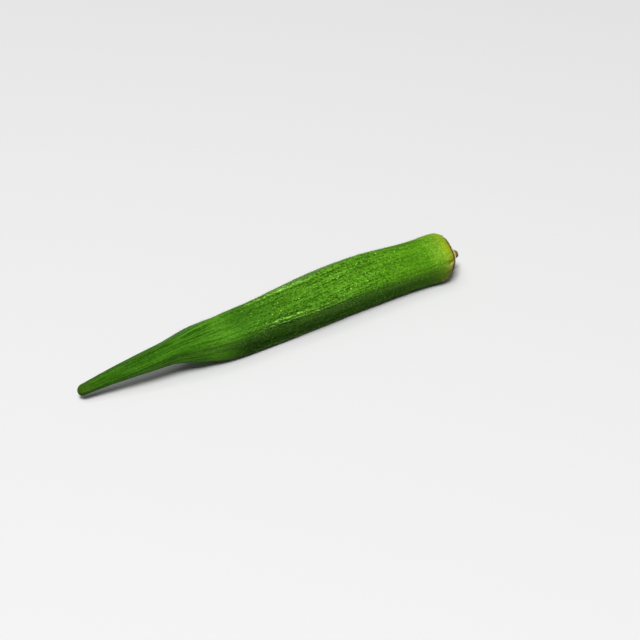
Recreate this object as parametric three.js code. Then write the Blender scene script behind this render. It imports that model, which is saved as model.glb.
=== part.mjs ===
// A fresh okra pod lying on its side: a long five-ridged seed capsule that tapers to a blunt beak,
// with the ring scar that its calyx left, the low domed cap behind the scar and a short cut stub of
// stalk. It grew in one piece, so it is one closed solid.
//
// Millimetres, +Z up. The beak points to -X and the stalk to +X. The origin is under the middle of
// the pod, on the surface that it lies on.

import * as THREE from 'three';
import { mergeVertices } from 'three/addons/utils/BufferGeometryUtils.js';

// ---- Driving dimensions -------------------------------------------------------------------------
// Places along the pod are distances from the tip of the beak.

const RIDGES = 5;
const SCAR = 123.1; // where the calyx broke away
const SHOULDER = SCAR - 7; // where the body starts to round in towards the scar
const BEAK_ROUNDING = 1.6; // length of the rounded end of the beak
const LYING_FROM = 60; // from here to the shoulder the pod touches the surface
const PRESSED = 0.12; // depth of the flats that it lies on, along both edges of its lowest face

// [distance, radius over the ridges] of the body
const BODY = [
  [0, 1.6], [8, 2.2], [20, 3.25], [28, 4.0], [36, 5.85], [46, 7.3], [56, 7.8], [68, 8.4],
  [82, 8.8], [98, 8.55], [110, 7.7], [SHOULDER, 7.65],
];

// [distance past the scar, radius over the ridges] of the shoulder, scar groove, cap and stub
const STALK_END = [
  [-7, 7.65], [-5.2, 7.9], [-3.7, 8.0], [-2.4, 7.85], [-1.3, 7.45], [-0.5, 6.9],
  [0, 6.35], [0.3, 6.0], [0.6, 5.95], [0.95, 5.65],
  [1.5, 4.7], [2.2, 3.5], [3.0, 2.3], [3.8, 1.55], [4.9, 0.95],
];

// [distance, height of the pod's axis] of the arched beak, ahead of the stretch that lies flat
const BEAK_ARCH = [[0, 2.85], [14, 6.2], [28, 8.25], [36, 8.0], [48, 6.75]];

// [distance, sideways sway of the axis, + to +Y]
const SWAY = [[0, 1.6], [26, -1.75], [60, -0.8], [94, 0.75], [SCAR, -0.5]];

// [distance, turn of the ridges round the axis, in radians towards -Y]
const TURN = [
  [0, 0.33], [24, 0.15], [36, 0.035], [48, -0.085], [LYING_FROM, -0.08], [74, 0], [84, 0],
];

const STUB_SHIFT = { y: -1.0, z: -1.1 }; // how far the stub's end leans off the axis
const CUT_SLANT = 0.16; // the knife's lean: rise along the pod for each mm across the stub

// [distance, sharpness of the ridges], where a higher number is a crisper ridge and flatter face
const SHARPNESS = [
  [0, 8], [20, 14], [50, 20], [80, 16], [100, 9], [SHOULDER, 5.5], [SCAR, 4.5], [128, 4],
];

// [distance, hollow of the faces between ridges] as a share of the radius
const HOLLOW = [[0, 0.01], [20, 0.015], [60, 0.015], [100, 0.01], [SHOULDER, 0.004], [SCAR, 0]];

// [share of the stub's radius, depth] of the cut face: rim, sunken ring and pith
const CUT_FACE = [[0.8, 0.0], [0.62, 0.08], [0.4, 0.04], [0, 0.1]];

// ---- How finely the surface is divided ----------------------------------------------------------

const SIDES = 60; // facets round the pod
const BODY_STEP = 2.7; // mm between rings along the body
const BEAK_RINGS = 6;
const CREST_BUNCHING = 1.6; // above 1, facets gather on the ridges

// ---- Curves and sections ------------------------------------------------------------------------

/** Smooth curve through [x, y] points, held level outside them. */
function through(points) {
  const last = points.length - 1;
  const slopes = points.map((_, i) => {
    const before = points[Math.max(i - 1, 0)];
    const after = points[Math.min(i + 1, last)];
    return (after[1] - before[1]) / (after[0] - before[0]);
  });
  return (at) => {
    const x = THREE.MathUtils.clamp(at, points[0][0], points[last][0]);
    const next = points.findIndex((point) => point[0] >= x);
    const i = Math.max(next - 1, 0);
    const span = points[i + 1][0] - points[i][0];
    const t = (x - points[i][0]) / span;
    const rise = points[i + 1][1] - points[i][1];
    const left = slopes[i] * span;
    const right = slopes[i + 1] * span;
    return points[i][1] + t * left
      + t * t * (3 * rise - 2 * left - right)
      + t * t * t * (left + right - 2 * rise);
  };
}

const bodyRadius = through(BODY);
const stalkEndRadius = through(STALK_END);
const sway = through(SWAY);
const turn = through(TURN);
const sharpness = through(SHARPNESS);
const hollow = through(HOLLOW);

const HALF_LOBE = Math.PI / RIDGES;
const STUB_END = STALK_END[STALK_END.length - 1];
const LENGTH = SCAR + STUB_END[0];

/** Radius over the ridges, rounded to a point at the beak's tip. */
function ridgeRadius(distance) {
  if (distance > SHOULDER) return stalkEndRadius(distance - SCAR);
  const short = 1 - Math.min(distance / BEAK_ROUNDING, 1);
  return bodyRadius(distance) * Math.sqrt(1 - short * short);
}

/** Outline of a rounded pentagon with faces a little hollow: 1 on a ridge, less between ridges. */
function section(angle, distance) {
  const power = sharpness(distance);
  const dip = hollow(distance);
  let sum = 0;
  for (let face = 0; face < RIDGES; face += 1) {
    const offFace = angle - HALF_LOBE - 2 * HALF_LOBE * face;
    sum += Math.max(0, Math.cos(offFace)) ** power;
  }
  const crest = (2 * Math.cos(HALF_LOBE) ** power) ** (-1 / power) + dip;
  return (sum ** (-1 / power) + dip * Math.cos(RIDGES * angle)) / crest;
}

/** Moves an angle towards the nearest ridge, so that the facets there are narrow. */
function bunch(angle) {
  const ridge = Math.round(angle / (2 * HALF_LOBE));
  const off = angle / (2 * HALF_LOBE) - ridge;
  const share = Math.sign(off) * Math.abs(2 * off) ** CREST_BUNCHING;
  return (2 * ridge + share) * HALF_LOBE;
}

const ANGLES = Array.from({ length: SIDES }, (_, i) => bunch((i / SIDES) * 2 * Math.PI));

/** Height of the axis at which the lowest face just presses on the surface. */
function lyingHeight(distance) {
  const depths = ANGLES.map((angle) => {
    return -Math.cos(angle + turn(distance)) * section(angle, distance);
  });
  return Math.max(...depths) * bodyRadius(distance) - PRESSED;
}

const beakHeight = through([...BEAK_ARCH, [LYING_FROM, lyingHeight(LYING_FROM)]]);

/** Centre of the pod's section at a distance from the tip: x along the pod, y sideways, z up. */
function axisPoint(distance) {
  const alongStub = THREE.MathUtils.clamp((distance - SCAR) / STUB_END[0], 0, 1);
  const height = distance < LYING_FROM ? beakHeight(distance) : lyingHeight(distance);
  return new THREE.Vector3(
    distance,
    sway(distance) + alongStub * STUB_SHIFT.y,
    height + alongStub * STUB_SHIFT.z,
  );
}

// ---- The pod ------------------------------------------------------------------------------------

/** Distances of the rings from the tip to the edge of the cut. */
function stations() {
  const beak = Array.from({ length: BEAK_RINGS }, (_, i) => {
    return BEAK_ROUNDING * (1 - Math.cos((i / BEAK_RINGS) * Math.PI / 2));
  });
  const steps = Math.round((SHOULDER - BEAK_ROUNDING) / BODY_STEP);
  const body = Array.from({ length: steps }, (_, i) => {
    return THREE.MathUtils.lerp(BEAK_ROUNDING, SHOULDER, i / steps);
  });
  return [...beak, ...body, ...STALK_END.map((point) => SCAR + point[0])];
}

/** Lathe profile: x is the radius over the ridges and y the distance from the tip. */
function profile() {
  const outside = stations().map((distance) => new THREE.Vector2(ridgeRadius(distance), distance));
  const cut = CUT_FACE.map(([share, depth]) => new THREE.Vector2(share * STUB_END[1], LENGTH - depth));
  return [...outside, ...cut];
}

/** Turns a round lathed blank into the ridged, arched pod that rests on its lowest face. */
function podGeometry() {
  const geometry = new THREE.LatheGeometry(profile(), SIDES);
  const position = geometry.attributes.position;
  const point = new THREE.Vector3();
  for (let i = 0; i < position.count; i += 1) {
    point.fromBufferAttribute(position, i);
    const distance = point.y;
    const angle = bunch(Math.atan2(point.x, point.z));
    const radius = Math.hypot(point.x, point.z) * section(angle, distance);
    const onStub = THREE.MathUtils.smoothstep(distance, LENGTH - 1, LENGTH);
    const lies = angle + turn(distance);
    const across = -radius * Math.sin(lies);
    const centre = axisPoint(distance);
    position.setXYZ(
      i,
      distance + onStub * CUT_SLANT * across,
      centre.y + across,
      Math.max(0, centre.z + radius * Math.cos(lies)),
    );
  }
  geometry.deleteAttribute('normal');
  geometry.deleteAttribute('uv');
  const closed = mergeVertices(geometry);
  closed.computeBoundingBox();
  const middle = closed.boundingBox.getCenter(new THREE.Vector3());
  closed.translate(-middle.x, -middle.y, 0);
  closed.computeVertexNormals();
  return closed;
}

const podSkin = new THREE.MeshStandardMaterial({ color: 0x4f8f22, roughness: 0.55, metalness: 0 });
const pod = new THREE.Mesh(podGeometry(), podSkin);
pod.name = 'okra_pod';

const okra = new THREE.Group();
okra.add(pod);

export default okra;
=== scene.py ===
# A fresh okra pod on a pale floor: the fine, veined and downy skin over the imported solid.
# Sizes are in millimetres in the code and become metres where meshes are made.

import math

import bpy
import numpy as np
from mathutils import Matrix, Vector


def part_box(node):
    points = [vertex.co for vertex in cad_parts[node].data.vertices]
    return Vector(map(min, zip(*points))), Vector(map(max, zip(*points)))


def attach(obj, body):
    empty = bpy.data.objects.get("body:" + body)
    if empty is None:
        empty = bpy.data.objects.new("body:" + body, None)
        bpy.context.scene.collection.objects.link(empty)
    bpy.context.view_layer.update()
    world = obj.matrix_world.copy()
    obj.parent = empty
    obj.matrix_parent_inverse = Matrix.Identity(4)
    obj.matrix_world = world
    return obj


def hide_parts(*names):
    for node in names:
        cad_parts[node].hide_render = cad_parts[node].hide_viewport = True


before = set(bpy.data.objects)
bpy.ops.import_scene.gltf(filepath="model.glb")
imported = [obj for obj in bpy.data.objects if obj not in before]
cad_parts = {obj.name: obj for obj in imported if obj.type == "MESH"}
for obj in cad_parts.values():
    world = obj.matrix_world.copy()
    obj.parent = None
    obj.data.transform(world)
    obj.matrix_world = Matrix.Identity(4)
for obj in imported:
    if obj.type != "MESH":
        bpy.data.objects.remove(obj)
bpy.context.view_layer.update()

MM = 0.001
NODE = "okra_pod"
BODY = "root"
SEED = 20

# ---- The pod's driving dimensions, as in the part's own source (mm) -----------------------------
# Places along the pod are distances from the tip of the beak.

RIDGES = 5
HALF_LOBE = math.pi / RIDGES
SCAR = 123.1  # where the calyx broke away
SHOULDER = SCAR - 7  # where the body starts to round in towards the scar
BEAK_ROUNDING = 1.6  # length of the rounded end of the beak
LYING_FROM = 60  # from here to the shoulder the pod touches the floor
PRESSED = 0.12  # depth of the flats that it lies on

# (distance, radius over the ridges) of the body
BODY_RADIUS = [
    (0, 1.6), (8, 2.2), (20, 3.25), (28, 4.0), (36, 5.85), (46, 7.3), (56, 7.8), (68, 8.4),
    (82, 8.8), (98, 8.55), (110, 7.7), (SHOULDER, 7.65),
]
# (distance past the scar, radius over the ridges) of the shoulder, scar groove, cap and stub
STALK_END = [
    (-7, 7.65), (-5.2, 7.9), (-3.7, 8.0), (-2.4, 7.85), (-1.3, 7.45), (-0.5, 6.9),
    (0, 6.35), (0.3, 6.0), (0.6, 5.95), (0.95, 5.65),
    (1.5, 4.7), (2.2, 3.5), (3.0, 2.3), (3.8, 1.55), (4.9, 0.95),
]
# (distance, height of the axis) of the arched beak
BEAK_ARCH = [(0, 2.85), (14, 6.2), (28, 8.25), (36, 8.0), (48, 6.75)]
# (distance, sideways sway of the axis, + to +Y)
SWAY = [(0, 1.6), (26, -1.75), (60, -0.8), (94, 0.75), (SCAR, -0.5)]
# (distance, turn of the ridges round the axis, in radians towards -Y)
TURN = [(0, 0.33), (24, 0.15), (36, 0.035), (48, -0.085), (LYING_FROM, -0.08), (74, 0), (84, 0)]
STUB_SHIFT_Y, STUB_SHIFT_Z = -1.0, -1.1  # how far the stub's end leans off the axis
CUT_SLANT = 0.16  # the knife's lean: rise along the pod for each mm across the stub
CUT_REACH = 1.0  # length of the stub's end that takes up the slant
# (distance, sharpness of the ridges)
SHARPNESS = [
    (0, 8), (20, 14), (50, 20), (80, 16), (100, 9), (SHOULDER, 5.5), (SCAR, 4.5), (128, 4),
]
# (distance, hollow of the faces between ridges) as a share of the radius
HOLLOW = [(0, 0.01), (20, 0.015), (60, 0.015), (100, 0.01), (SHOULDER, 0.004), (SCAR, 0)]
# (share of the stub's radius, depth) of the cut face: rim, sunken ring and pith
CUT_FACE = [(0.8, 0.0), (0.62, 0.08), (0.4, 0.04), (0, 0.1)]
STUB_LENGTH, STUB_RADIUS = STALK_END[-1]
LENGTH = SCAR + STUB_LENGTH

# ---- How fine the skin is -----------------------------------------------------------------------

SIDES = 215  # facets round the pod
BEAK_RINGS = 12
BODY_RINGS = 320
STALK_END_RINGS = 90
CUT_RINGS = 14
CREST_BUNCHING = 1.35  # above 1, facets gather on the ridges

# ---- Curves and noise ---------------------------------------------------------------------------

NOISE_SLOPES = 256  # how many slopes the noise picks from
NOISE_GAIN = 1.5  # brings the noise to about -1 to 1


def through(points, at):
    """Smooth curve through (x, y) points, held level outside them."""
    x, y = np.array(points, float).T
    slope = np.empty_like(y)
    slope[1:-1] = (y[2:] - y[:-2]) / (x[2:] - x[:-2])
    slope[0] = (y[1] - y[0]) / (x[1] - x[0])
    slope[-1] = (y[-1] - y[-2]) / (x[-1] - x[-2])
    at = np.clip(at, x[0], x[-1])
    i = np.clip(np.searchsorted(x, at) - 1, 0, len(x) - 2)
    span = x[i + 1] - x[i]
    t = (at - x[i]) / span
    rise = y[i + 1] - y[i]
    left, right = slope[i] * span, slope[i + 1] * span
    return (y[i] + t * left + t**2 * (3 * rise - 2 * left - right)
            + t**3 * (left + right - 2 * rise))


def smoothstep(low, high, value):
    """0 below low, 1 above high and a smooth rise between them."""
    t = np.clip((value - low) / (high - low), 0, 1)
    return t * t * (3 - 2 * t)


def between(low, high, share):
    return low + (high - low) * share


def bell(value, width):
    return np.exp(-(value / width) ** 2)


def noise(points, seed):
    """Smooth gradient noise from about -1 to 1 at (n, 3) points, the same for the same seed."""
    random = np.random.default_rng(seed)
    table = random.permutation(NOISE_SLOPES)
    slopes = random.normal(size=(NOISE_SLOPES, 3))
    slopes /= np.linalg.norm(slopes, axis=1)[:, None]
    cell = np.floor(points).astype(int)
    local = points - cell
    fade = local**3 * (local * (local * 6 - 15) + 10)
    total = np.zeros(len(points))
    for corner in np.ndindex(2, 2, 2):
        picked = 0
        for axis in range(3):
            picked = table[(picked + cell[:, axis] + corner[axis]) % NOISE_SLOPES]
        weight = np.prod(np.where(corner, fade, 1 - fade), axis=1)
        total += weight * np.sum(slopes[picked] * (local - corner), axis=1)
    return total * NOISE_GAIN


def rough(points, height, along, across, seed):
    """Noise of a height in mm, with so many cells per mm along the pod and across it."""
    return height * noise(points * (along, across, across), SEED + seed)


def peaks(points, level, height, along, across, seed):
    """Only the parts of the noise that stand above a level, so that they are single bumps."""
    above = noise(points * (along, across, across), SEED + seed) - level
    return height * np.maximum(0, above)


# ---- The pod's plain form -----------------------------------------------------------------------

def ridge_radius(distance):
    """Radius over the ridges, rounded to a point at the beak's tip."""
    short = 1 - np.clip(distance / BEAK_ROUNDING, 0, 1)
    body = through(BODY_RADIUS, distance) * np.sqrt(1 - short**2)
    return np.where(distance > SHOULDER, through(STALK_END, distance - SCAR), body)


def section(angle, distance):
    """Outline of a rounded pentagon with faces a little hollow: 1 on a ridge."""
    power = through(SHARPNESS, distance)
    dip = through(HOLLOW, distance)
    total = 0
    for face in range(RIDGES):
        off_face = angle - HALF_LOBE - 2 * HALF_LOBE * face
        total = total + np.maximum(0, np.cos(off_face)) ** power
    crest = (2 * math.cos(HALF_LOBE) ** power) ** (-1 / power) + dip
    return (total ** (-1 / power) + dip * np.cos(RIDGES * angle)) / crest


STATIONS = np.linspace(0, LENGTH, 600)  # where the lying height is worked out
UNDER_ANGLES = np.radians(np.linspace(120, 240, 121))  # the part of a section that can touch


def lying_heights():
    """Height of the axis at each station at which the lowest face just presses on the floor."""
    distance = STATIONS[:, None]
    lies = UNDER_ANGLES + through(TURN, distance)
    reach = -np.cos(lies) * section(UNDER_ANGLES, distance)
    return np.max(reach, axis=1) * through(BODY_RADIUS, STATIONS) - PRESSED


LYING_HEIGHTS = lying_heights()


def lying_height(distance):
    return np.interp(distance, STATIONS, LYING_HEIGHTS)


def axis_point(distance):
    """Sideways and upward place of the pod's axis."""
    arched = through(BEAK_ARCH + [(LYING_FROM, lying_height(LYING_FROM))], distance)
    height = np.where(distance < LYING_FROM, arched, lying_height(distance))
    along_stub = np.clip((distance - SCAR) / STUB_LENGTH, 0, 1)
    return (through(SWAY, distance) + along_stub * STUB_SHIFT_Y,
            height + along_stub * STUB_SHIFT_Z)


def from_ridge(angle):
    """Signed angle from the nearest ridge."""
    lobe = 2 * HALF_LOBE
    return angle - lobe * np.round(angle / lobe)


def bunch(angle):
    """Moves angles towards the nearest ridge, so that the facets there are narrow."""
    off = from_ridge(angle)
    moved = HALF_LOBE * np.sign(off) * np.abs(off / HALF_LOBE) ** CREST_BUNCHING
    return angle - off + moved


def place(distance, angle, radius):
    """Points of the pod, in mm from the beak's tip, before they are moved to the CAD's place."""
    side, height = axis_point(distance)
    lies = angle + through(TURN, distance)
    across = -radius * np.sin(lies)
    on_stub = smoothstep(LENGTH - CUT_REACH, LENGTH, distance)
    return np.stack([
        distance + on_stub * CUT_SLANT * across,
        side + across,
        height + radius * np.cos(lies),
    ], axis=-1)


# ---- Relief of the skin (mm) --------------------------------------------------------------------

VEINS_ROUND = 9.0  # radius, in noise cells, of the round on which the veins are drawn
THICK = (1.5, 7)  # radii between which the relief grows to its full height
SKIN_STARTS = (0, 3)  # distances over which the relief comes in behind the tip
SKIN_ENDS = (SCAR - 1.6, SCAR - 0.2)  # and goes out before the scar

# (height, cells per mm along, cells per mm across, seed)
LUMPS = (0.16, 0.09, 0.2, 0)
VEINS = (0.055, 0.05, 1.0, 1)
FINE_VEINS = (0.03, 0.12, 2.2, 2)
CREST_WAVES = (0.05, 0.5, 0.2, 3)
TORN_EDGE = (0.16, 1.6, 2.4, 6)
LIP = (0.12, 0.2, 0.9, 7)
CAP_FIBRES = (0.09, 0.35, 1.5, 8)
CAP_KNOBS = (0.07, 0.9, 0.8, 9)
# The level that the noise has to pass comes before the same four.
WARTS = (0.42, 0.11, 0.9, 1.3, 4)
PIMPLES = (0.45, 0.07, 2.1, 2.6, 5)

THIN_VEINS = 0.45  # share of the veins' height that is left where the pod is thin
CREST_WORN = 0.14  # how far the ridges are rounded off
CREST_WIDTH = 0.9  # over which that fades, beside a ridge
THIN_CREST = 0.2  # share of the rounding-off that is left where the pod is thin
SEAM_GROOVE = (0.05, 0.35)  # depth and width
SEAM_SWELL = (0.04, 1.2)  # height and width
SEED_BULGE = 0.08
SEED_SPACING = 4.7
SEED_OFF_RIDGE = math.radians(17)
SEED_WIDTH = math.radians(9)
SEEDS_START, SEEDS_END = (26, 45), (104, 116)
LOBE_PHASE = 1.7  # radians that the seeds of one lobe are out of step with the next
ROW_PHASE = 0.6  # and that each row is out of step with the middle of its lobe
NECK_FILL = (0.3, 110.5, 6.5)  # height, distance and length
NECK_DIP = (0.22, 119.3, 2)
NECK_SIDE = (-0.3, 0.3)  # of the angle's cosine: the neck's forms are on the upper side
RING_GROOVE = (0.25, 0.45)  # distance past the scar, and width, of the torn edge
LIP_PLACE = (-0.35, 0.3)  # and of the lip before it
CAP_STARTS = (0.8, 1.3)  # distances past the scar
CAP_RIDGE = (0.22, 0.5)  # height and width
CAP_RIDGE_FADES = (1.6, 3.0)  # radii over which the cap's ridges go out towards the stub
CAP_FIBRES_FADE = (0.5, 2.0)  # and its fibres


def grain_place(distance, angle):
    """Where a point lies on a straight pod of even thickness, so that veins run to the beak."""
    return np.stack([distance, VEINS_ROUND * np.cos(angle), VEINS_ROUND * np.sin(angle)], axis=-1)


def seed_bulges(distance, angle):
    """Two rows of low swellings in each lobe, where the seeds press from inside."""
    off = from_ridge(angle)
    phase = LOBE_PHASE * np.round(angle / (2 * HALF_LOBE)) + ROW_PHASE * np.sign(off)
    beads = 0.5 + 0.5 * np.cos(2 * math.pi * distance / SEED_SPACING + phase)
    rows = bell(np.abs(off) - SEED_OFF_RIDGE, SEED_WIDTH)
    along = smoothstep(*SEEDS_START, distance) * (1 - smoothstep(*SEEDS_END, distance))
    return SEED_BULGE * beads * rows * along


def neck_form(distance, angle):
    """Fill and dip of the neck's upper side before the stalk end."""
    fill, fill_at, fill_length = NECK_FILL
    dip, dip_at, dip_length = NECK_DIP
    form = fill * bell(distance - fill_at, fill_length) - dip * bell(distance - dip_at, dip_length)
    return form * smoothstep(*NECK_SIDE, np.cos(angle))


def relief(distance, angle, radius):
    """Height of the skin over the plain form."""
    grain = grain_place(distance, angle)
    straight = np.stack([distance, radius * np.cos(angle), radius * np.sin(angle)], axis=-1)
    off = from_ridge(angle)
    from_middle = (HALF_LOBE - np.abs(off)) * radius
    thick = smoothstep(*THICK, radius)
    skin = smoothstep(*SKIN_STARTS, distance) * (1 - smoothstep(*SKIN_ENDS, distance))
    lengthwise = (rough(grain, *VEINS) + rough(grain, *FINE_VEINS)) * between(THIN_VEINS, 1, thick)
    crest = (rough(straight, *CREST_WAVES) - CREST_WORN) * bell(off * radius, CREST_WIDTH)
    crest = crest * between(THIN_CREST, 1, thick)
    groove, groove_width = SEAM_GROOVE
    swell, swell_width = SEAM_SWELL
    seam = swell * bell(from_middle, swell_width) - groove * bell(from_middle, groove_width)
    on_thick = rough(straight, *LUMPS) + seam + seed_bulges(distance, angle)
    bumps = peaks(straight, *WARTS) + peaks(straight, *PIMPLES)
    return skin * (neck_form(distance, angle) + on_thick * thick + lengthwise + crest + bumps)


def stalk_relief(distance, angle, radius):
    """Height of the torn scar, the fibrous cap and the stub over the plain form."""
    grain = grain_place(distance, angle)
    past = distance - SCAR
    ring_at, ring_width = RING_GROOVE
    lip_at, lip_width = LIP_PLACE
    torn = bell(past - ring_at, ring_width) * rough(grain, *TORN_EDGE)
    lip = bell(past - lip_at, lip_width) * rough(grain, *LIP)
    ridge, ridge_width = CAP_RIDGE
    ridges = ridge * bell(from_ridge(angle) * radius, ridge_width)
    ridges = ridges * smoothstep(*CAP_RIDGE_FADES, radius)
    fibres = rough(grain, *CAP_FIBRES) + rough(grain, *CAP_KNOBS)
    fibres = fibres * smoothstep(*CAP_FIBRES_FADE, radius)
    return torn + lip + smoothstep(*CAP_STARTS, past) * (ridges + fibres)


# ---- Meshes -------------------------------------------------------------------------------------

CAD_SIDES = 60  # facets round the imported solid
CAD_STATIONS = 200  # rings, enough to find the solid's widest places
THINNEST = 0.02  # least distance of the skin from the axis


def shift_to_cad():
    """Move, in mm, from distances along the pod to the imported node's own place."""
    angles = bunch(np.linspace(0, 2 * math.pi, CAD_SIDES, endpoint=False))
    distances = np.linspace(0, LENGTH, CAD_STATIONS)
    s, a = np.meshgrid(distances, angles, indexing="ij")
    plain = place(s, a, ridge_radius(s) * section(a, s)).reshape(-1, 3)
    low, high = (np.array(corner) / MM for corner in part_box(NODE))
    middle = (plain.min(0) + plain.max(0)) / 2
    return np.array([low[0] - plain[:, 0].min(), (low[1] + high[1]) / 2 - middle[1], 0])


SHIFT = shift_to_cad()


def make_object(name, points, faces, material, smooth=True):
    """A piece from points in mm, riding on the pod's body."""
    mesh = bpy.data.meshes.new(name)
    mesh.from_pydata((points * MM).tolist(), [], faces)
    mesh.polygons.foreach_set("use_smooth", [smooth] * len(mesh.polygons))
    mesh.materials.append(material)
    piece = bpy.data.objects.new(name, mesh)
    bpy.context.scene.collection.objects.link(piece)
    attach(piece, BODY)
    return piece


def add_vectors(piece, name, vectors):
    attribute = piece.data.attributes.new(name, "FLOAT_VECTOR", "POINT")
    attribute.data.foreach_set("vector", vectors.astype(np.float32).ravel())


def tube_faces(rings, sides):
    """Quads of a tube of rings, and fans to one point before the first and after the last."""
    faces = []
    for i in range(rings - 1):
        for j in range(sides):
            k = (j + 1) % sides
            faces.append((i * sides + j, i * sides + k, (i + 1) * sides + k, (i + 1) * sides + j))
    first, last = rings * sides, rings * sides + 1
    for j in range(sides):
        k = (j + 1) % sides
        faces.append((first, k, j))
        faces.append((last, (rings - 1) * sides + j, (rings - 1) * sides + k))
    return faces


def skin_rings():
    """Distance and radius over the ridges of every ring, from the tip to the middle of the cut."""
    turn = np.linspace(0, math.pi / 2, BEAK_RINGS + 1)[1:]
    beak = BEAK_ROUNDING * (1 - np.cos(turn))
    body = np.linspace(BEAK_ROUNDING, SHOULDER, BODY_RINGS + 1)[1:]
    end = np.linspace(SHOULDER, LENGTH, STALK_END_RINGS + 1)[1:]
    distance = np.concatenate([beak, body, end])
    shares, depths = np.array(CUT_FACE[::-1], float).T
    share = np.linspace(1, 0, CUT_RINGS + 1)[1:-1]
    depth = np.interp(share, np.append(shares, 1), np.append(depths, 0))
    return (np.concatenate([distance, LENGTH - depth]),
            np.concatenate([ridge_radius(distance), share * STUB_RADIUS]))


def skin_surface(distance, angle, ring_radius, outside=1.0):
    """Points of the finished skin and their distance from the axis; outside is 0 on the cut."""
    radius = ring_radius * section(angle, distance)
    raised = radius + outside * (relief(distance, angle, radius)
                                 + stalk_relief(distance, angle, radius))
    points = place(distance, angle, np.maximum(raised, THINNEST))
    points[:, 2] = np.maximum(points[:, 2], 0)
    return points + SHIFT, raised


def make_skin(material):
    """The skin, with the places on it that its material is drawn from.

    grain and straight are where a point lies on a straight pod, of even thickness and of its own.
    marks are its distance from the nearest ridge, in mm, and 1 where it is on the cut.
    """
    distance, ring_radius = skin_rings()
    angle = bunch(np.linspace(0, 2 * math.pi, SIDES, endpoint=False))
    s, a = (grid.ravel() for grid in np.meshgrid(distance, angle, indexing="ij"))
    on_cut = np.repeat(np.arange(len(distance)) >= len(distance) - (CUT_RINGS - 1), SIDES)
    points, raised = skin_surface(s, a, np.repeat(ring_radius, SIDES), ~on_cut)
    ends = place(np.array([0.0, LENGTH - CUT_FACE[-1][1]]), np.zeros(2), np.zeros(2)) + SHIFT
    piece = make_object("okra_skin", np.vstack([points, ends]),
                        tube_faces(len(distance), SIDES), material)
    s, a, raised = (np.append(v, w) for v, w in ((s, (0, LENGTH)), (a, (0, 0)), (raised, (0, 0))))
    from_crest = np.abs(from_ridge(a)) * raised
    cut = np.append(on_cut.astype(float), (0, 1))
    add_vectors(piece, "grain", grain_place(s, a))
    add_vectors(piece, "straight", np.stack([s, raised * np.cos(a), raised * np.sin(a)], axis=-1))
    add_vectors(piece, "marks", np.stack([from_crest, cut, np.zeros_like(cut)], axis=-1))
    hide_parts(NODE)
    return piece


# ---- Down ---------------------------------------------------------------------------------------

DOWN_HAIRS = 11000  # drawn, before those on thin parts and near the floor are left out
HAIR_LENGTH = (0.25, 0.6)
HAIR_RADIUS = 0.022
HAIR_WAIST = 0.6  # share of that radius half way up
HAIR_ROOT = 0.05  # how far a hair starts under the skin
HAIR_LEAN = 0.45  # spread of the lean, as a share of the length
HAIR_BEND = (0.1, 0.25)  # middle and spread of the bend
BACKWARD = 0.25  # how far the hairs lean towards the beak
FULL_DOWN_RADIUS = 9  # radius over the ridges at which no hair is left out
DOWN_THINNING = 1.5  # above 0, thinner parts have fewer hairs
FLOOR_CLEARANCE = 0.12
SMALL_STEP, SMALL_TURN = 0.1, 0.02  # to measure which way the skin faces


def unit(vectors):
    return vectors / np.linalg.norm(vectors, axis=1)[:, None]


def skin_frames(distance, angle):
    """Points on the skin with the directions along the pod, out of the skin and across."""
    radius, radius_ahead = ridge_radius(distance), ridge_radius(distance + SMALL_STEP)
    root, _ = skin_surface(distance, angle, radius)
    ahead, _ = skin_surface(distance + SMALL_STEP, angle, radius_ahead)
    beside, _ = skin_surface(distance, angle + SMALL_TURN, radius)
    along = unit(ahead - root)
    out = unit(np.cross(ahead - root, beside - root))
    axis_y, axis_z = axis_point(distance)
    from_axis = root - SHIFT - np.stack([distance, axis_y, axis_z], axis=-1)
    out *= np.sign(np.sum(out * from_axis, axis=1))[:, None]
    return root, along, out, np.cross(out, along)


def triangle(centre, width, along, side):
    """Three points round a centre, in the plane of the skin."""
    turns = (2 * math.pi * corner / 3 for corner in range(3))
    return [centre + width * (math.cos(turn) * along + math.sin(turn) * side) for turn in turns]


def hair_faces(base):
    """Faces of a hair whose points are a triangle at the root, one half way up and the tip."""
    faces = []
    for corner in range(3):
        after = (corner + 1) % 3
        faces.append((base + corner, base + after, base + 3 + after, base + 3 + corner))
        faces.append((base + 3 + corner, base + 3 + after, base + 6))
    faces.append((base + 2, base + 1, base))
    return faces


def hair_places(random):
    """Distances and angles of the hairs, fewer on thin parts."""
    distance = random.uniform(1, SCAR - 1, DOWN_HAIRS)
    angle = bunch(random.uniform(0, 2 * math.pi, DOWN_HAIRS))
    thickness = (ridge_radius(distance) / FULL_DOWN_RADIUS) ** DOWN_THINNING
    keep = random.uniform(0, 1, DOWN_HAIRS) < thickness
    return distance[keep], angle[keep]


def hair_bends(random, root, along, out, side):
    """Points half way up and at the tip of each hair."""
    count = len(root)
    length = random.uniform(*HAIR_LENGTH, count)[:, None]
    lean = random.normal(0, HAIR_LEAN, (count, 2))
    bend = random.normal(*HAIR_BEND, (count, 2))
    way = out + along * (lean[:, :1] - BACKWARD) + side * lean[:, 1:]
    middle = root + way * length * 0.5
    return middle, middle + (way + along * bend[:, :1] + side * bend[:, 1:]) * length * 0.5


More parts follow.
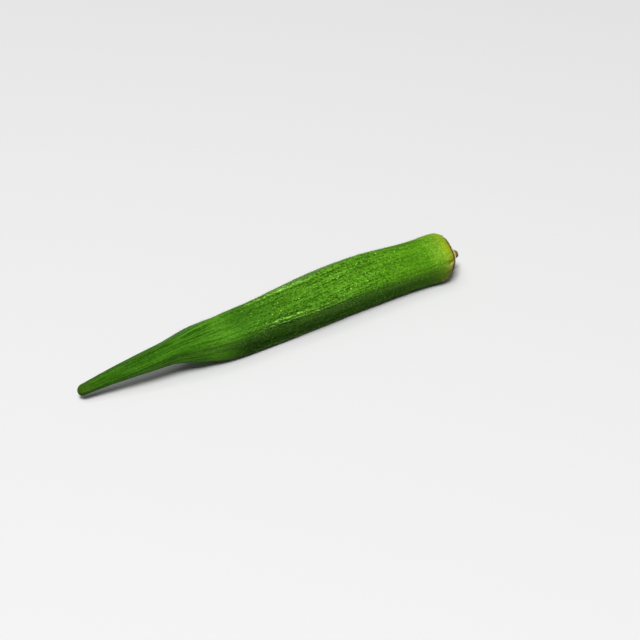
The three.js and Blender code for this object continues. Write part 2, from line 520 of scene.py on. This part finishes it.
def make_down(material):
    """Short stiff hairs, thickest on the ridges: each one a slim three-sided spike with a bend."""
    random = np.random.default_rng(SEED + 30)
    distance, angle = hair_places(random)
    root, along, out, side = skin_frames(distance, angle)
    middle, tip = hair_bends(random, root, along, out, side)
    clear = np.minimum(root[:, 2], tip[:, 2]) > FLOOR_CLEARANCE
    points, faces = [], []
    for i in np.flatnonzero(clear):
        faces += hair_faces(len(points))
        points += triangle(root[i] - out[i] * HAIR_ROOT, HAIR_RADIUS, along[i], side[i])
        points += triangle(middle[i], HAIR_WAIST * HAIR_RADIUS, along[i], side[i])
        points.append(tip[i])
    return make_object("okra_down", np.array(points), faces, material)


# ---- Torn edge of the scar ----------------------------------------------------------------------

SCAR_FLAKES = 70
FLAKE_SPACING = (0.4, 1.6)  # of the even spacing
FLAKE_HALF_WIDTH = (0.03, 0.075)  # radians
FLAKE_HEIGHT = (0.12, 0.5)
FLAKE_LEAN = (-0.25, 0.35)  # along the pod for each mm of height
FLAKE_PLACE = (0.15, 0.35)  # past the scar
FLAKE_LAYERS = (0.09, -0.09)  # its two faces, along the pod from its middle
FLAKE_STEPS = 4  # across its width
FLAKE_FOOT = 0.15  # how deep it stands in the groove
FLAKE_LOWEST = 0.02
FLAKE_RAGGED = (0.8, 1.9)  # how fast it drops to its sides


def flake_points(random, angle):
    """Two layers of a flake, each one a row of pairs of foot and top."""
    half_width = random.uniform(*FLAKE_HALF_WIDTH)
    height = random.uniform(*FLAKE_HEIGHT)
    lean = random.uniform(*FLAKE_LEAN)
    at = SCAR + random.uniform(*FLAKE_PLACE)
    points = []
    for layer in FLAKE_LAYERS:
        for i in range(FLAKE_STEPS + 1):
            share = i / FLAKE_STEPS - 0.5
            theta = angle + share * half_width * 2
            radius = ridge_radius(at) * section(theta, at)
            peak = height * (1 - abs(share) * random.uniform(*FLAKE_RAGGED))
            points.append(place(at + layer, theta, radius - FLAKE_FOOT))
            peak = max(peak, FLAKE_LOWEST)
            points.append(place(at + layer + lean * peak, theta, radius + peak))
    return points


def flake_faces(base):
    """Faces of a flake that starts at a point: front, back, top, foot and both sides."""
    faces = []
    row = 2 * (FLAKE_STEPS + 1)
    for a in range(base, base + 2 * FLAKE_STEPS, 2):
        b = a + 2
        faces.append((a, a + 1, b + 1, b))
        faces.append((a + row, b + row, b + row + 1, a + row + 1))
        faces.append((a + 1, a + row + 1, b + row + 1, b + 1))
        faces.append((b, b + row, a + row, a))
    first, last = base, base + 2 * FLAKE_STEPS
    faces.append((first, first + row, first + row + 1, first + 1))
    faces.append((last + 1, last + row + 1, last + row, last))
    return faces


def make_scar(material):
    """The dry, torn edge that the calyx left: ragged flakes standing in the scar's groove."""
    random = np.random.default_rng(SEED + 40)
    points, faces = [], []
    angle = 0.0
    for _ in range(SCAR_FLAKES):
        angle += random.uniform(*FLAKE_SPACING) * 2 * math.pi / SCAR_FLAKES
        faces += flake_faces(len(points))
        points += flake_points(random, angle)
    points = np.array(points) + SHIFT
    points[:, 2] = np.maximum(points[:, 2], FLAKE_LOWEST)
    return make_object("okra_calyx_scar", points, faces, material, smooth=False)


# ---- Shader nodes -------------------------------------------------------------------------------

def linear(*srgb):
    """Colour from 0-255 sRGB numbers."""
    def channel(value):
        value /= 255
        return value / 12.92 if value <= 0.04045 else ((value + 0.055) / 1.055) ** 2.4
    return (*(channel(value) for value in srgb), 1)


class Nodes:
    """Short ways to add and join shader nodes."""

    def __init__(self, name):
        self.material = bpy.data.materials.new(name)
        self.material.use_nodes = True
        self.tree = self.material.node_tree
        self.surface = self.tree.nodes["Principled BSDF"]

    def add(self, kind, **settings):
        node = self.tree.nodes.new(kind)
        for key, value in settings.items():
            setattr(node, key, value)
        return node

    def feed(self, value, socket):
        """Sets a socket to a fixed number or colour, or joins an output to it."""
        if isinstance(value, (int, float, tuple)):
            socket.default_value = value
        else:
            self.tree.links.new(value, socket)

    def surface_is(self, settings):
        for name, value in settings.items():
            self.feed(value, self.surface.inputs[name])

    def attribute(self, name):
        return self.add("ShaderNodeAttribute", attribute_name=name).outputs["Vector"]

    def part(self, vector, axis):
        split = self.add("ShaderNodeSeparateXYZ")
        self.feed(vector, split.inputs[0])
        return split.outputs[axis]

    def noise(self, vector, along, across, octaves, roughness=0.55):
        """Noise with so many cells per unit along the pod and across it."""
        mapping = self.add("ShaderNodeMapping")
        self.feed(vector, mapping.inputs["Vector"])
        self.feed((along, across, across), mapping.inputs["Scale"])
        node = self.add("ShaderNodeTexNoise")
        self.feed(mapping.outputs[0], node.inputs["Vector"])
        self.feed(1.0, node.inputs["Scale"])
        self.feed(octaves, node.inputs["Detail"])
        self.feed(roughness, node.inputs["Roughness"])
        return node.outputs["Fac"]

    def remap(self, value, low, high, to_low=0.0, to_high=1.0):
        """Smooth change from to_low at low to to_high at high."""
        node = self.add("ShaderNodeMapRange", interpolation_type="SMOOTHSTEP")
        names = ("Value", "From Min", "From Max", "To Min", "To Max")
        for name, given in zip(names, (value, low, high, to_low, to_high)):
            self.feed(given, node.inputs[name])
        return node.outputs[0]

    def math(self, operation, first, second):
        node = self.add("ShaderNodeMath", operation=operation)
        self.feed(first, node.inputs[0])
        self.feed(second, node.inputs[1])
        return node.outputs[0]

    def times(self, first, *others):
        for other in others:
            first = self.math("MULTIPLY", first, other)
        return first

    def away(self, value, middle):
        """How far a value is from a middle one, either way."""
        return self.math("ABSOLUTE", self.math("SUBTRACT", value, middle), 0)

    def departures(self, *parts):
        """Sum of each (noise, weight)'s departure from its middle value, times its weight."""
        total = 0.0
        for value, weight in parts:
            total = self.math("ADD", self.times(self.math("SUBTRACT", value, 0.5), weight), total)
        return total

    def mix(self, factor, first, second, blend="MIX"):
        """Mixes two colours, each a linked output or a fixed colour."""
        node = self.add("ShaderNodeMix", data_type="RGBA", blend_type=blend)
        self.feed(factor, node.inputs[0])
        self.feed(first, node.inputs[6])
        self.feed(second, node.inputs[7])
        return node.outputs[2]

    def tinted(self, colour, tint):
        return self.mix(1.0, colour, (*tint, 1), "MULTIPLY")

    def paint(self, colour, new, *factors):
        """Another colour over a first one, as strongly as the product of the factors."""
        return self.mix(self.times(*factors), colour, new)

    def ramp(self, value, stops):
        """Colour from (place, (red, green, blue)) stops."""
        node = self.add("ShaderNodeValToRGB")
        ramp = node.color_ramp
        while len(ramp.elements) < len(stops):
            ramp.elements.new(0.5)
        for element, (position, colour) in zip(ramp.elements, stops):
            element.position = position
            element.color = (*colour, 1)
        self.feed(value, node.inputs[0])
        return node.outputs[0]

    def bump(self, height, distance, strength, normal=None):
        node = self.add("ShaderNodeBump")
        self.feed(strength, node.inputs["Strength"])
        self.feed(distance * MM, node.inputs["Distance"])
        self.feed(height, node.inputs["Height"])
        if normal:
            self.feed(normal, node.inputs["Normal"])
        return node.outputs[0]


# ---- The skin's material ------------------------------------------------------------------------
# A noise pattern is (cells per mm along, cells per mm across, octaves, and roughness if not plain).
# A change is (low, high) or (low, high, value at low, value at high), as Nodes.remap takes it.

# (share of the pod's length from the tip, linear colour)
# The ramp is the pod's own green with painted light and shade in it: brighter near 0.335 and darker
# from 0.39 to 0.5, evening out where the form turns away from and towards the light.
BODY_COLOURS_AND_PAINTED_LIGHT = [
    (0.0, (0.0235, 0.064, 0.0030)),
    (0.06, (0.0188, 0.077, 0.0028)),
    (0.27, (0.0250, 0.099, 0.0034)),
    (0.335, (0.0430, 0.151, 0.0068)),
    (0.39, (0.0258, 0.099, 0.0042)),
    (0.50, (0.0330, 0.117, 0.0042)),
    (0.66, (0.0460, 0.155, 0.0055)),
    (0.89, (0.0480, 0.162, 0.0038)),
    (0.945, (0.1180, 0.255, 0.0120)),
    (0.975, (0.2050, 0.297, 0.0110)),
    (1.0, (0.1700, 0.205, 0.0150)),
]
# (share of the pod's length from the tip, strength) of the lengthwise streaks
STREAKED = [
    (0.0, 1.0), (0.24, 1.0), (0.33, 0.42), (0.44, 0.42), (0.53, 0.8), (0.66, 0.8), (0.76, 0.4),
    (0.87, 0.15),
]
STREAKS = (0.09, 1.5, 3, 0.6)
FINE_STREAKS = (0.16, 3.2, 2)
SPECKLE = (1.4, 2.5, 2, 0.7)
PATCHES = (0.1, 0.3, 2)
STREAKS_WEIGHT, FINE_STREAKS_WEIGHT, SPECKLE_WEIGHT, PATCHES_WEIGHT = 2.5, 1.4, 2.6, 0.4
SPECKLE_STARTS = (44, 66, 0.4, 1.0)
SPECKLE_ENDS = (92, 112, 1.0, 0.5)
# by how far up a point is: the spots and dots are weaker on the underside
SPOTS_BY_HEIGHT = (-4 / VEINS_ROUND, 2 / VEINS_ROUND, 0.5, 1.0)
TONES = (-0.5, 0.5)
DARKER, LIGHTER = (0.35, 0.42, 0.3), (1.85, 1.55, 2.2)

DOTS, DOT_SIZE = (1.7, 2.6, 1), (0.66, 0.74)
DOT_ROWS, ROWS_WIDTH = (0.05, 0.9, 2), (0.42, 0.6, 0.1, 0.7)
DOTS_START, DOTS_END = (44, 62, 0.1, 1.4), (84, 96, 1.0, 0.7)
PITS, PIT_SIZE, PITS_STRENGTH = (1.7, 2.9, 1), (0.65, 0.72), 0.7
# The pale dots are partly hair bases and partly painted glints.
DOT_AND_GLINT_COLOUR, PIT_COLOUR = linear(160, 216, 98), linear(22, 60, 4)

GLOSS, ROUGHNESS = (0.8, 2.0, 3), (0.3, 0.7, 0.34, 0.56)
STREAK_BUMP, SPECKLE_BUMP = (0.1, 0.6), (0.16, 0.8)  # height in mm and strength


class SkinNodes(Nodes):
    """The skin's shader nodes, with the places on the pod that its patterns are drawn from."""

    def __init__(self):
        super().__init__("okra_green")
        self.grain = self.attribute("grain")
        self.straight = self.attribute("straight")
        marks = self.attribute("marks")
        self.from_crest = self.part(marks, 0)
        self.on_cut = self.part(marks, 1)
        self.distance = self.part(self.straight, 0)
        self.up = self.math("DIVIDE", self.part(self.grain, 1), VEINS_ROUND)
        self.fine_streaks = self.noise(self.grain, *FINE_STREAKS)
        self.speckle = self.noise(self.straight, *SPECKLE)
        self.speckled = self.times(self.remap(self.distance, *SPECKLE_ENDS),
                                   self.remap(self.distance, *SPECKLE_STARTS))
        self.spotted_above = self.remap(self.up, *SPOTS_BY_HEIGHT)


def skin_material():
    n = SkinNodes()
    colour = dots_glints_and_pits(n, crest_glints_and_shade(n, painted_belly_light_and_shade(n, green_tones(n))))
    colour = stalk_end_colours(n, colour)
    colour = n.mix(n.on_cut, colour, cut_colours(n))
    normal = n.bump(n.fine_streaks, *STREAK_BUMP)
    normal = n.bump(n.times(n.speckle, n.speckled), *SPECKLE_BUMP, normal)
    n.surface_is({
        "Base Color": colour,
        "Roughness": n.remap(n.noise(n.straight, *GLOSS), *ROUGHNESS),
        "Normal": normal,
        "Subsurface Weight": 0.06,
        "Subsurface Radius": (0.5, 1.0, 0.1),
        "Subsurface Scale": 0.6 * MM,
        "Specular IOR Level": 0.02,
        "Specular Tint": linear(200, 255, 120),
    })
    return n.material


def green_tones(n):
    """The body's green, with painted light and shade in its lengthwise ramp, lengthwise streaks,
    speckle and broad patches.
    """
    share = n.math("DIVIDE", n.distance, LENGTH)
    body = n.ramp(share, BODY_COLOURS_AND_PAINTED_LIGHT)
    streaked = n.ramp(share, [(at, (level, level, level)) for at, level in STREAKED])
    streaks = n.departures((n.noise(n.grain, *STREAKS), STREAKS_WEIGHT),
                           (n.fine_streaks, FINE_STREAKS_WEIGHT))
    spots = n.times(n.departures((n.speckle, SPECKLE_WEIGHT)), n.speckled, n.spotted_above)
    patches = n.departures((n.noise(n.straight, *PATCHES), PATCHES_WEIGHT))
    tone = n.math("ADD", n.math("ADD", n.times(streaks, streaked), spots), patches)
    return n.mix(n.remap(tone, *TONES), n.tinted(body, DARKER), n.tinted(body, LIGHTER))


def dots_glints_and_pits(n, colour):
    """Pale dots of hair bases that are partly painted glints, mostly in rows, and dark pits between
    them.
    """
    dots = n.remap(n.noise(n.straight, *DOTS), *DOT_SIZE)
    rows = n.remap(n.noise(n.grain, *DOT_ROWS), *ROWS_WIDTH)
    dotted = n.times(n.remap(n.distance, *DOTS_START), n.remap(n.distance, *DOTS_END))
    colour = n.paint(colour, DOT_AND_GLINT_COLOUR, dots, rows, dotted, n.spotted_above)
    pits = n.remap(n.noise(n.straight, *PITS), *PIT_SIZE)
    return n.paint(colour, PIT_COLOUR, pits, n.speckled, PITS_STRENGTH)


# up is 1 on the top of the pod and -1 on its underside
# Painted light and shade: the beak's lower flanks are painted paler as if lit by bounced light, and
# the pod's underside is painted darker, down to about a third, as painted shade.
PAINTED_LIGHT_TOP, PAINTED_LIGHT_FOOT = (-0.05, 0.3, 1.0, 0.0), (-0.8, -0.4)
PAINTED_LIGHT_STARTS, PAINTED_LIGHT_ENDS = (4, 12), (38, 46, 1.0, 0.0)
PAINTED_LIGHT_TINT = (1.6, 1.5, 1.4)
PAINTED_SHADE_STARTS, PAINTED_SHADE_ENDS = (39, 52), (98, 116, 1.0, 0.75)
PAINTED_SHADE_SIDE = (-0.55, 0.25, 1.0, 0.0)
PAINTED_SHADE_TINT = (0.32, 0.37, 0.12)


def painted_belly_light_and_shade(n, colour):
    """Painted light on the beak's lower flanks, a little paler, and painted shade on the pod's
    underside, darker.
    """
    colour = n.paint(colour, n.tinted(colour, PAINTED_LIGHT_TINT),
                     n.remap(n.up, *PAINTED_LIGHT_TOP), n.remap(n.up, *PAINTED_LIGHT_FOOT),
                     n.remap(n.distance, *PAINTED_LIGHT_STARTS), n.remap(n.distance, *PAINTED_LIGHT_ENDS))
    return n.paint(colour, n.tinted(colour, PAINTED_SHADE_TINT), n.remap(n.up, *PAINTED_SHADE_SIDE),
                   n.remap(n.distance, *PAINTED_SHADE_STARTS), n.remap(n.distance, *PAINTED_SHADE_ENDS))


CREST_STARTS, CREST_ENDS = (48, 62), (74, 88, 1.0, 0.05)
CREST_PATCHES, PATCHY = (0.13, 0.3, 1), (0.36, 0.6, 0.55, 1.0)
CREST_WAVER, WAVER_WIDTH = (0.5, 0.4, 2), 1.6
CREST_BREAKS, BROKEN = (2.1, 2.4, 2), (0.45, 0.58)
LINE_PLACE, LINE_EDGE, LINE_STRENGTH = 0.5, (0.08, 0.26, 1.0, 0.0), 0.75  # mm off the ridge
SPECKS, SPECKS_SIZE = (1.1, 1.9, 1), (0.47, 0.56)
SPECKS_PLACE, SPECKS_EDGE, SPECKS_STRENGTH = 1.2, (0.1, 0.4, 1.0, 0.0), 0.9
# The pale line is partly hair bases and partly a painted glint; the dark specks beyond it are
# painted shade.
LINE_AND_GLINT_COLOUR, PAINTED_SHADE_SPECKS_COLOUR = linear(158, 208, 100), linear(12, 30, 2)


def crest_glints_and_shade(n, colour):
    """Broken pale lines of hair bases and painted glints beside each ridge, and dark specks of
    painted shade beyond them.
    """
    patchy = n.remap(n.noise(n.straight, *CREST_PATCHES), *PATCHY)
    along = n.times(n.remap(n.distance, *CREST_STARTS), n.remap(n.distance, *CREST_ENDS), patchy)
    waver = n.departures((n.noise(n.straight, *CREST_WAVER), WAVER_WIDTH))
    line = n.remap(n.away(n.math("ADD", n.from_crest, waver), LINE_PLACE), *LINE_EDGE)
    broken = n.remap(n.noise(n.straight, *CREST_BREAKS), *BROKEN)
    colour = n.paint(colour, LINE_AND_GLINT_COLOUR, line, broken, along, LINE_STRENGTH)
    beyond = n.remap(n.away(n.from_crest, SPECKS_PLACE), *SPECKS_EDGE)
    specks = n.remap(n.noise(n.straight, *SPECKS), *SPECKS_SIZE)
    return n.paint(colour, PAINTED_SHADE_SPECKS_COLOUR, beyond, specks, along, SPECKS_STRENGTH)


# mm past the scar, so those below 0 start where the skin rounds in
OLIVE_STARTS, CREASES_START = (-4.6, -1.0), (-4.6, -2.2)
LOBES_START, WORN_STARTS = (-4.4, -2.2), (-4.2, -1.8)
CAP_COLOUR_STARTS, STUB_COLOUR_STARTS = (0.45, 0.75), (2.9, 3.6)
LOW_SIDE = (0.1, 0.6, 1.0, 0.0)
BLOTCHES, BLOTCH_SIZE, BLOTCH_STRENGTH = (0.4, 0.9, 3), (0.4, 0.6), 0.75
SCAR_WAVER, SCAR_WAVER_WIDTH = (0.35, 0.3, 3), 1.6
LOBE_PLACE, LOBE_EDGE = 1.5, (0.5, 1.1, 1.0, 0.0)  # mm off the ridge
LOBE_STREAKS, LOBE_STREAK_SIZE = (0.3, 1.6, 3), (0.36, 0.6)
CRACKS, CRACK_SIZE = (0.45, 1.3, 3), (0.4, 0.66)
CREASE_EDGE = (0.12, 0.42, 1.0, 0.0)
DRY_STRENGTH = 0.85
FIBRES, FIBRE_SIZE = (0.5, 2.0, 3), (0.35, 0.65)
RING_PLACE, RING_EDGE = 0.25, (0.2, 0.55, 1.0, 0.0)
RING_TEARS, TEAR_SIZE = (1.2, 1.4, 3), (0.34, 0.54)
PITH, PITH_SIZE = (2.0, 3.2, 3), (0.35, 0.7)
OLIVE = linear(134, 140, 16)
CREAM, WORN_BROWN, CREASE_GREEN = linear(206, 194, 112), linear(70, 60, 20), linear(52, 74, 4)
CAP_PALE, CAP_DEEP = linear(236, 228, 178), linear(176, 160, 92)
RING_BROWN = linear(60, 50, 12)
STUB_PALE, STUB_DEEP = linear(128, 112, 52), linear(74, 60, 28)
CUT_PALE, CUT_DEEP = linear(150, 132, 78), linear(84, 62, 30)


def stalk_end_colours(n, colour):
    """Olive touches and dry creases before the scar, its torn brown edge, the cap and the stub."""
    past = n.math("SUBTRACT", n.distance, SCAR)
    blotches = n.remap(n.noise(n.grain, *BLOTCHES), *BLOTCH_SIZE)
    colour = n.paint(colour, OLIVE, n.remap(past, *OLIVE_STARTS), blotches, BLOTCH_STRENGTH)
    colour = dry_creases(n, colour, past)
    fibres = n.remap(n.noise(n.grain, *FIBRES), *FIBRE_SIZE)
    colour = n.paint(colour, n.mix(fibres, CAP_PALE, CAP_DEEP), n.remap(past, *CAP_COLOUR_STARTS))
    ring = n.remap(n.away(past, RING_PLACE), *RING_EDGE)
    torn = n.remap(n.noise(n.grain, *RING_TEARS), *TEAR_SIZE)
    colour = n.paint(colour, RING_BROWN, ring, torn)
    return n.paint(colour, n.mix(fibres, STUB_PALE, STUB_DEEP), n.remap(past, *STUB_COLOUR_STARTS))


def dry_creases(n, colour, past):
    """Cream and brown where the low side has dried and cracked, and a green crease on the ridge."""
    low = n.remap(n.up, *LOW_SIDE)
    waver = n.departures((n.noise(n.straight, *SCAR_WAVER), SCAR_WAVER_WIDTH))
    from_crest = n.math("ADD", n.from_crest, waver)
    lobe = n.remap(n.away(from_crest, LOBE_PLACE), *LOBE_EDGE)
    streaky = n.remap(n.noise(n.grain, *LOBE_STREAKS), *LOBE_STREAK_SIZE)
    colour = n.paint(colour, CREAM, lobe, low, n.remap(past, *LOBES_START), streaky, DRY_STRENGTH)
    cracks = n.remap(n.noise(n.grain, *CRACKS), *CRACK_SIZE)
    colour = n.paint(colour, WORN_BROWN, low, cracks, n.remap(past, *WORN_STARTS), DRY_STRENGTH)
    crease = n.remap(n.away(from_crest, 0), *CREASE_EDGE)
    return n.paint(colour, CREASE_GREEN, crease, n.remap(past, *CREASES_START), low, DRY_STRENGTH)


def cut_colours(n):
    return n.mix(n.remap(n.noise(n.straight, *PITH), *PITH_SIZE), CUT_PALE, CUT_DEEP)


# ---- Other materials ----------------------------------------------------------------------------

# These two are drawn in the piece's own place, so their cells are per metre.
HAIR_TONES = (900, 900, 1)
FLAKE_TONES, FLAKE_TONE_SIZE = (1400, 1400, 4), (0.35, 0.68)
HAIR_GREEN, HAIR_PALE = linear(100, 156, 26), linear(148, 196, 60)
FLAKE_DARK, FLAKE_PALE = linear(44, 28, 12), linear(122, 92, 44)
FLAKE_BUMP = (0.08, 0.8)
FLOOR_GREY = (0.47, 0.47, 0.47, 1)


def down_material():
    n = Nodes("okra_hairs")
    tone = n.noise(n.add("ShaderNodeTexCoord").outputs["Object"], *HAIR_TONES)
    n.surface_is({
        "Base Color": n.mix(tone, HAIR_GREEN, HAIR_PALE),
        "Roughness": 0.45,
        "Specular IOR Level": 0.15,
        "Subsurface Weight": 0.1,
        "Subsurface Scale": 0.2 * MM,
    })
    return n.material


def scar_material():
    n = Nodes("okra_dry_scar")
    place_on_it = n.add("ShaderNodeTexCoord").outputs["Object"]
    tone = n.remap(n.noise(place_on_it, *FLAKE_TONES), *FLAKE_TONE_SIZE)
    n.surface_is({
        "Base Color": n.mix(tone, FLAKE_DARK, FLAKE_PALE),
        "Normal": n.bump(tone, *FLAKE_BUMP),
        "Roughness": 0.8,
    })
    return n.material


def floor_material():
    n = Nodes("pale_floor")
    n.surface_is({"Base Color": FLOOR_GREY, "Roughness": 0.9, "Specular IOR Level": 0.1})
    return n.material


# ---- Floor, light and camera --------------------------------------------------------------------

CAMERA_AZIMUTH = -32.4  # degrees
CAMERA_ELEVATION = 35.0
CAMERA_DISTANCE = 550.0
NEAREST_SEEN = 0.01  # metres
FOCAL_PIXELS = 1866.0  # of a picture 640 pixels wide
PICTURE_WIDTH = 640
AIM_RIGHT = 12.9  # mm from the pod's origin to what the picture's middle shows
AIM_UP = 3.43

FLOOR_HALF = 3000.0
WORLD_STRENGTH = 0.17
LIGHT_DISTANCE = 2.4  # metres
# (name, azimuth, elevation, size in metres, watts)
LIGHTS = [
    ("key", CAMERA_AZIMUTH - 10, 64, 0.8, 88),
    ("top", CAMERA_AZIMUTH - 70, 74, 1.3, 21),
]


def axes_towards(azimuth, elevation):
    """Unit vectors to the right, up and back of what looks at the pod from an angle."""
    a, e = math.radians(azimuth), math.radians(elevation)
    right = np.array([math.cos(a), math.sin(a), 0])
    back = np.array([math.sin(a) * math.cos(e), -math.cos(a) * math.cos(e), math.sin(e)])
    return right, np.cross(back, right), back


def add_facing(name, data, axes, where):
    """An object of the scene that looks along -back from a place in metres."""
    item = bpy.data.objects.new(name, data)
    bpy.context.scene.collection.objects.link(item)
    rows = np.stack([*axes, where], axis=1)
    item.matrix_world = Matrix([*rows.tolist(), [0, 0, 0, 1]])
    return item


def make_camera():
    right, up, back = axes_towards(CAMERA_AZIMUTH, CAMERA_ELEVATION)
    data = bpy.data.cameras.new("camera")
    data.lens = data.sensor_width * FOCAL_PIXELS / PICTURE_WIDTH
    data.clip_start = NEAREST_SEEN
    where = (AIM_RIGHT * right + AIM_UP * up + CAMERA_DISTANCE * back) * MM
    bpy.context.scene.camera = add_facing("camera", data, (right, up, back), where)


def make_light(name, azimuth, elevation, size, power):
    """A square area light aimed at the pod, placed as a camera at that azimuth would be."""
    axes = axes_towards(azimuth, elevation)
    data = bpy.data.lights.new(name, "AREA")
    data.shape = "SQUARE"
    data.size = size
    data.energy = power
    add_facing(name, data, axes, axes[2] * LIGHT_DISTANCE)


def make_floor():
    signs = np.array([(-1, -1, 0), (1, -1, 0), (1, 1, 0), (-1, 1, 0)])
    mesh = bpy.data.meshes.new("floor")
    mesh.from_pydata((signs * FLOOR_HALF * MM).tolist(), [], [(0, 1, 2, 3)])
    mesh.materials.append(floor_material())
    floor = bpy.data.objects.new("floor", mesh)
    bpy.context.scene.collection.objects.link(floor)


def make_studio():
    world = bpy.data.worlds.new("studio")
    bpy.context.scene.world = world
    world.use_nodes = True
    background = world.node_tree.nodes["Background"]
    background.inputs["Color"].default_value = (1, 1, 1, 1)
    background.inputs["Strength"].default_value = WORLD_STRENGTH
    for light in LIGHTS:
        make_light(*light)
    bpy.context.scene.view_settings.view_transform = "Standard"


make_camera()
make_floor()
make_studio()
make_skin(skin_material())
make_down(down_material())
make_scar(scar_material())
